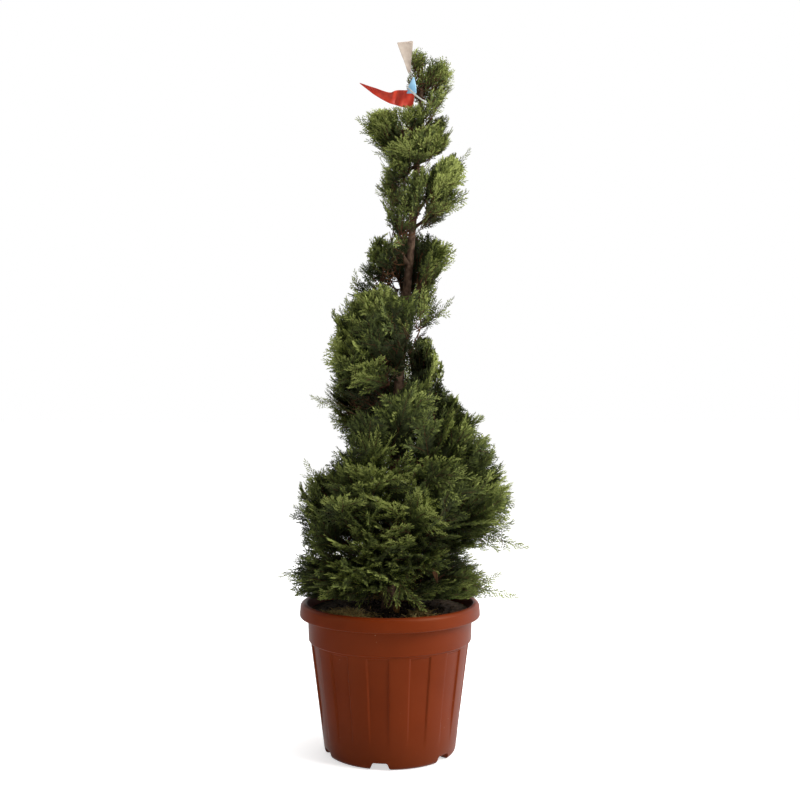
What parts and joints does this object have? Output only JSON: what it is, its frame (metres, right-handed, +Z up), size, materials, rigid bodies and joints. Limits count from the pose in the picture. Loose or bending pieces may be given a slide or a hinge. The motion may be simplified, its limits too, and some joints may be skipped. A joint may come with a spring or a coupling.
{
  "type": "spiral topiary conifer in a pot",
  "caption": "Tall conifer clipped into a spiral round its stem, growing in a flared plastic nursery pot with a rolled lip, fluted sides and a loop label on the leader.",
  "frame": {"origin": "centre of the flat pad under the pot, level with the ground that the pot stands on", "axes": "+Z up the plant, +X to the side that the stem's tip leans to, +Y to the back, away from the label"},
  "size_m": [0.469, 0.3986, 1.3365],
  "materials": {
    "bark": "matte",
    "foliage": "satin",
    "pot": "satin",
    "compost": "matte",
    "label_back": "matte",
    "label_blue": "satin",
    "label_red": "satin"
  },
  "bodies": {
    "root": {"pot": "pot", "soil": "compost", "trunk": "bark", "bough_1": "bark", "bough_2": "bark", "bough_3": "bark", "bough_4": "bark", "bough_5": "bark", "bough_6": "bark", "bough_7": "bark", "bough_8": "bark", "bough_9": "bark", "bough_10": "bark", "bough_11": "bark", "bough_12": "bark", "bough_13": "bark", "bough_14": "bark", "bough_15": "bark", "foliage_1": "foliage", "foliage_2": "foliage", "foliage_3": "foliage", "foliage_4": "foliage", "foliage_5": "foliage", "foliage_6": "foliage", "foliage_7": "foliage", "foliage_8": "foliage", "foliage_9": "foliage", "foliage_10": "foliage", "foliage_11": "foliage", "foliage_12": "foliage", "foliage_13": "foliage", "foliage_14": "foliage", "foliage_15": "foliage", "foliage_top": "foliage", "label_band": "label_blue", "label_flap": "label_back", "label_tail": "label_red"}
  },
  "joints": []
}
